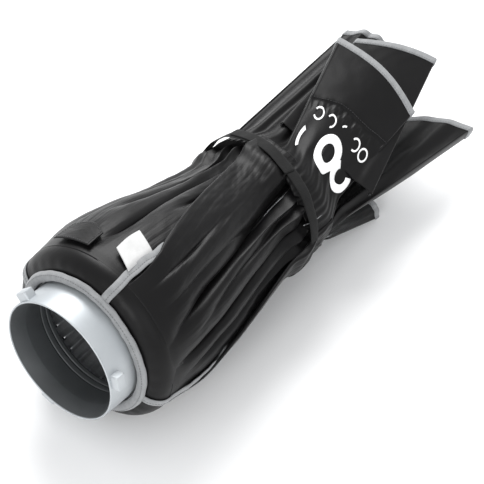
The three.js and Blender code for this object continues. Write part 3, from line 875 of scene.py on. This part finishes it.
def make_flap(name):
    flap = FLAPS[name]
    body = "flap_" + name
    p = flap_points(flap, *flap_grid())
    n = normals(p)
    *_, out = flap_frame(flap)
    facing = np.sign((n * out).sum(-1).mean())
    n = n * facing
    sheet = cloth(f"flap_cloth_{name}", p, flip=facing < 0)
    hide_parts(f"front_flap_{name}")
    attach(sheet, body)
    rim, rim_out = p[-1], n[-3]
    back = unit(p[-4] - p[-1])
    hem = sweep(f"flap_binding_{name}", rim, back, rim_out, edge_section(7.5, 1.5), BINDING, "grey_binding")
    run = rim + back * 6.0 + rim_out * 0.9
    thread = stitches(f"flap_stitches_{name}", run, rim_out, DARK_THREAD, "grey_binding")
    extras = [hem, thread] + (make_print(flap) if name == "right" else [])
    for piece in extras:
        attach(piece, body)


def printed(flap, name, centre, radii, turn, squash):
    """A curved bar of white ink on a flap: centre in (u, v), radii in mm, turn from angle to angle."""
    angle = np.radians(np.linspace(*turn, 40))[None]
    r = np.linspace(*radii, 8)[:, None]
    u = centre[0] + squash[0] * r * np.cos(angle) / PRINT_WIDTH
    v = centre[1] + squash[1] * r * np.sin(angle) / PRINT_LENGTH
    u, v = np.broadcast_arrays(u, v)
    p = flap_points(flap, u, v)
    step = 1e-3
    n = unit(np.cross(flap_points(flap, u + step, v) - p, flap_points(flap, u, v + step) - p))
    n = n * np.sign((n * flap_frame(flap)[4]).sum(-1))[..., None]
    return cloth(name, p + n * PRINT_LIFT, "white_label", INK, INK, 0.1)


def make_print(flap):
    """Plain white shapes: a ring, a hook and a bar by the strap, and a row of small arcs ahead of them."""
    made = [printed(flap, "print_ring", (0.47, 0.17), (9.0, 18.5), (0, 360), (1.0, 1.25)),
            printed(flap, "print_hook", (0.15, 0.15), (8.0, 16.0), (140, 400), (1.0, 1.1)),
            printed(flap, "print_bar", (0.80, 0.13), (17.0, 24.0), (-36, 36), (0.6, 1.0))]
    for i, (u, arc) in enumerate(PRINT_MARKS):
        place = (u, 0.42 - 0.06 * u)
        made.append(printed(flap, f"print_mark_{i + 1}", place, (4.6, 6.4), (20, 20 + arc), (1, 1.35)))
    u = np.linspace(-0.02, 1.02, 120)
    seam = np.clip(lerp(*PRINT_SEAM, u) + seam_wave(u) + 0.012, 0, 1)
    line = flap_points(flap, u, seam)
    out = np.broadcast_to(flap_frame(flap)[4], line.shape)
    made.append(stitches("print_seam_stitches", line + out * 0.4, out, BLACK_THREAD, "black_nylon"))
    return made


def edge_section(width, thick):
    """A binding folded over a raw edge: it wraps the edge and lies on both sides."""
    half = thick / 2 + CLOTH / 2
    return [(-1.0, 0), (-0.6, half * 0.8), (0.4, half), (width * 0.5, half * 1.05), (width - 0.6, half),
            (width, half * 0.5), (width, -half * 0.9), (width - 0.6, -half - 0.5), (width * 0.5, -half - 0.6),
            (0.4, -half - 0.4), (-0.6, -half * 0.9)]


# ---- Strap, patch and tag -----------------------------------------------------------------------------
STRAP_END = (66, 128)  # azimuths between which the strap's loose end lies on it


def strap_path(azimuth, rise):
    y = strap_middle(azimuth)
    bumps = 0.45 * np.sin(np.radians(azimuth * 9)) + 0.3 * np.sin(np.radians(azimuth * 17 + 40))
    path = hull(azimuth, y, rise + bumps)
    out = unit(path * np.array([1, 0, 1.3]) + np.array([0, 12.0, 0]))
    along = unit(np.gradient(path, axis=0))
    return path, out, unit(np.cross(along, out))


def make_strap():
    azimuth = np.linspace(0, 360, 241)[:-1]
    path, out, across = strap_path(azimuth, STRAP_RISE + 0.4)
    band = sweep("strap_band", path, across, out, lens(STRAP_WIDTH, 1.5, 16), WEBBING, "black_webbing", True)
    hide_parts("tie_strap")
    path, out, across = strap_path(np.linspace(*STRAP_END, 60), STRAP_RISE + 1.9)
    path[:, 1] += lerp(-2.5, 3.0, np.linspace(0, 1, 60))
    end = sweep("strap_end", path, across, out, lens(STRAP_WIDTH, 1.4, 16), WEBBING, "black_webbing")
    *_, flap_out = flap_frame(FLAPS["right"])
    axis = world(flap_out) - world([0, 0, 0])
    anchor = world([37, 344, 50])
    for piece in (band, end):
        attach(piece, "flap_right")
        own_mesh(piece)


PATCH_AZIMUTHS, PATCH_FROM, PATCH_TO, PATCH_POINT = (101.0, 130.0), 64.0, 96.0, 9.0


def patch_place(u, v):
    """Azimuth and Y of a point of the patch, whose far end is cut to a point."""
    far = PATCH_TO - PATCH_POINT * np.abs(2 * u - 1) ** 1.6
    return lerp(*PATCH_AZIMUTHS, u) + 1.5 * v * (0.5 - u), lerp(PATCH_FROM, far, v)


def make_patch():
    u = np.linspace(0, 1, 44)[None]
    v = np.linspace(0, 1, 40)[:, None]
    rise = 5.0 + 0.5 * np.sin(math.pi * u) * v + 0.25 * ripple(u, v, 8.0)
    patch = cloth("grip_patch_cloth", hull(*patch_place(u, v), rise), "black_webbing", NYLON, NYLON, 1.1,
                  True)
    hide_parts("grip_patch")
    inset = np.linspace(0.05, 0.95, 60)
    low, high = np.full(60, 0.06), np.full(60, 0.94)
    around_u = np.concatenate([inset, high, inset[::-1], low])
    around_v = np.concatenate([low, inset, high, inset[::-1]])
    ring = hull(*patch_place(around_u, around_v), 5.5)
    out = unit(ring * np.array([1, 0, 1]))
    thread = stitches("grip_patch_stitches", ring, out, BLACK_THREAD, "black_webbing")
    for piece in (patch, thread):
        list(blend_ends(1, 29, 44))
        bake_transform(piece)


def make_tag():
    """A blank woven tag, folded once and sewn into the seam: two layers with a soft loop end."""
    layers = [(0.0, 0.2), (0.25, 0.6), (0.5, 1.2), (0.8, 1.9), (0.94, 2.2), (1.0, 1.7), (0.95, 0.9),
              (0.8, 0.5), (0.5, 0.1), (0.2, -0.3), (0.0, -0.4)]
    along = np.linspace(0, 1, 30)
    rows = []
    for s, lift in layers:
        azimuth = lerp(73.0, 87.5, s) + 0.6 * np.sin(3 * along)
        y = lerp(67.0, 103.0, along) + 9.0 * s + 1.2 * s * (1 - 2 * along)
        rows.append(hull(azimuth, y, 3.6 + lift + 1.4 * s + 0.8 * s * np.sin(math.pi * along)))
    tag = cloth("side_tag", np.array(rows), "white_label", LABEL, LABEL, 0.35)
    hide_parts("side_label")
    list(blend_ends(1, 29, 44))
    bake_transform(tag)


# ---- Camera, floor and light ---------------------------------------------------------------------------
VIEW_AZIMUTH, VIEW_HEIGHT = math.radians(40.5), math.radians(48.49)
VIEW_DISTANCE = 2.374
VIEW_TARGET = (0.0801, -0.1011, 0.1868)  # the point in the middle of the view, in metres
LENS, SENSOR = 178.5, 36.0


def make_camera():
    a, e = VIEW_AZIMUTH, VIEW_HEIGHT
    ahead = Vector((-math.sin(a) * math.cos(e), math.cos(a) * math.cos(e), -math.sin(e)))
    data = bpy.data.cameras.new("camera")
    data.sensor_width = SENSOR
    data.lens = LENS
    data.clip_end = 20
    camera = bpy.data.objects.new("camera", data)
    bpy.context.scene.collection.objects.link(camera)
    camera.location = Vector(VIEW_TARGET) - ahead * VIEW_DISTANCE
    camera.rotation_euler = ahead.to_track_quat("-Z", "Y").to_euler()
    bpy.context.scene.camera = camera


def make_floor():
    mesh = bpy.data.meshes.new("floor")
    mesh.from_pydata([(-6, -6, 0), (6, -6, 0), (6, 6, 0), (-6, 6, 0)], [], [(0, 1, 2, 3)])
    m = Nodes("floor_paper", Roughness=0.9, Specular_IOR_Level=0.2)
    paper = m.space((1, 1, 1))
    m.colour(m.ramp(m.noise(paper, 3, 2), [(0.3, (0.90, 0.90, 0.902)), (0.7, (0.92, 0.92, 0.922))]))
    m.bump((m.noise(paper, 200, 2), 0.05, 0.001))
    mesh.materials.append(m.material)
    floor = bpy.data.objects.new("floor", mesh)
    bpy.context.scene.collection.objects.link(floor)
    floor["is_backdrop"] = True


def area_light(name, place, target, size, power, colour=(1, 1, 1)):
    data = bpy.data.lights.new(name, "AREA")
    data.shape = "RECTANGLE"
    data.size, data.size_y = size
    data.energy = power
    data.color = colour
    lamp = bpy.data.objects.new(name, data)
    bpy.context.scene.collection.objects.link(lamp)
    lamp.location = place
    lamp.rotation_euler = (Vector(target) - Vector(place)).to_track_quat("-Z", "Y").to_euler()


def make_lights():
    sky = bpy.data.worlds.new("studio")
    sky.use_nodes = True
    sky.node_tree.nodes["Background"].inputs["Color"].default_value = (0.98, 0.99, 1.0, 1)
    sky.node_tree.nodes["Background"].inputs["Strength"].default_value = 0.88
    bpy.context.scene.world = sky
    area_light("key", (-1.1, 1.0, 1.75), (0, 0, 0.05), (1.3, 1.3), 54)
    area_light("fill", (1.7, -0.8, 1.3), (0, 0, 0.05), (1.4, 1.4), 7, (0.97, 0.98, 1.0))
    area_light("front", (0.45, -1.9, 1.0), (0, -0.2, 0.1), (0.5, 0.5), 10)
    bpy.context.scene.view_settings.view_transform = "Standard"


# ---- Making ---------------------------------------------------------------------------------------------
make_camera()
make_floor()
make_lights()

steel_nodes = ["hub_plate", "clamp_ring"]
moulded_nodes = []
for number in range(1, 5):
    steel_nodes += [f"{kind}_{number}" for kind in ("clamp_screw", "rib_bracket", "hinge_pin", "rib_rod")]
    moulded_nodes += [f"rib_root_{number}", f"rib_tip_{number}"]
dress(steel_nodes, STEEL)
dress(moulded_nodes, MOULDED)

make_ring()
make_sleeve()
make_collar()
make_shoulder()
make_bore_lining()
for number in range(4):
    make_skirt(number)
    make_seam(number)
    make_wall(number)
for flap_name in FLAPS:
    make_flap(flap_name)
make_strap()
make_patch()
make_tag()

corners = {"cad": CAD_BOX, "visual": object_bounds()}
{key: [list(map(float, corner)) for corner in value] for key, value in corners.items()}
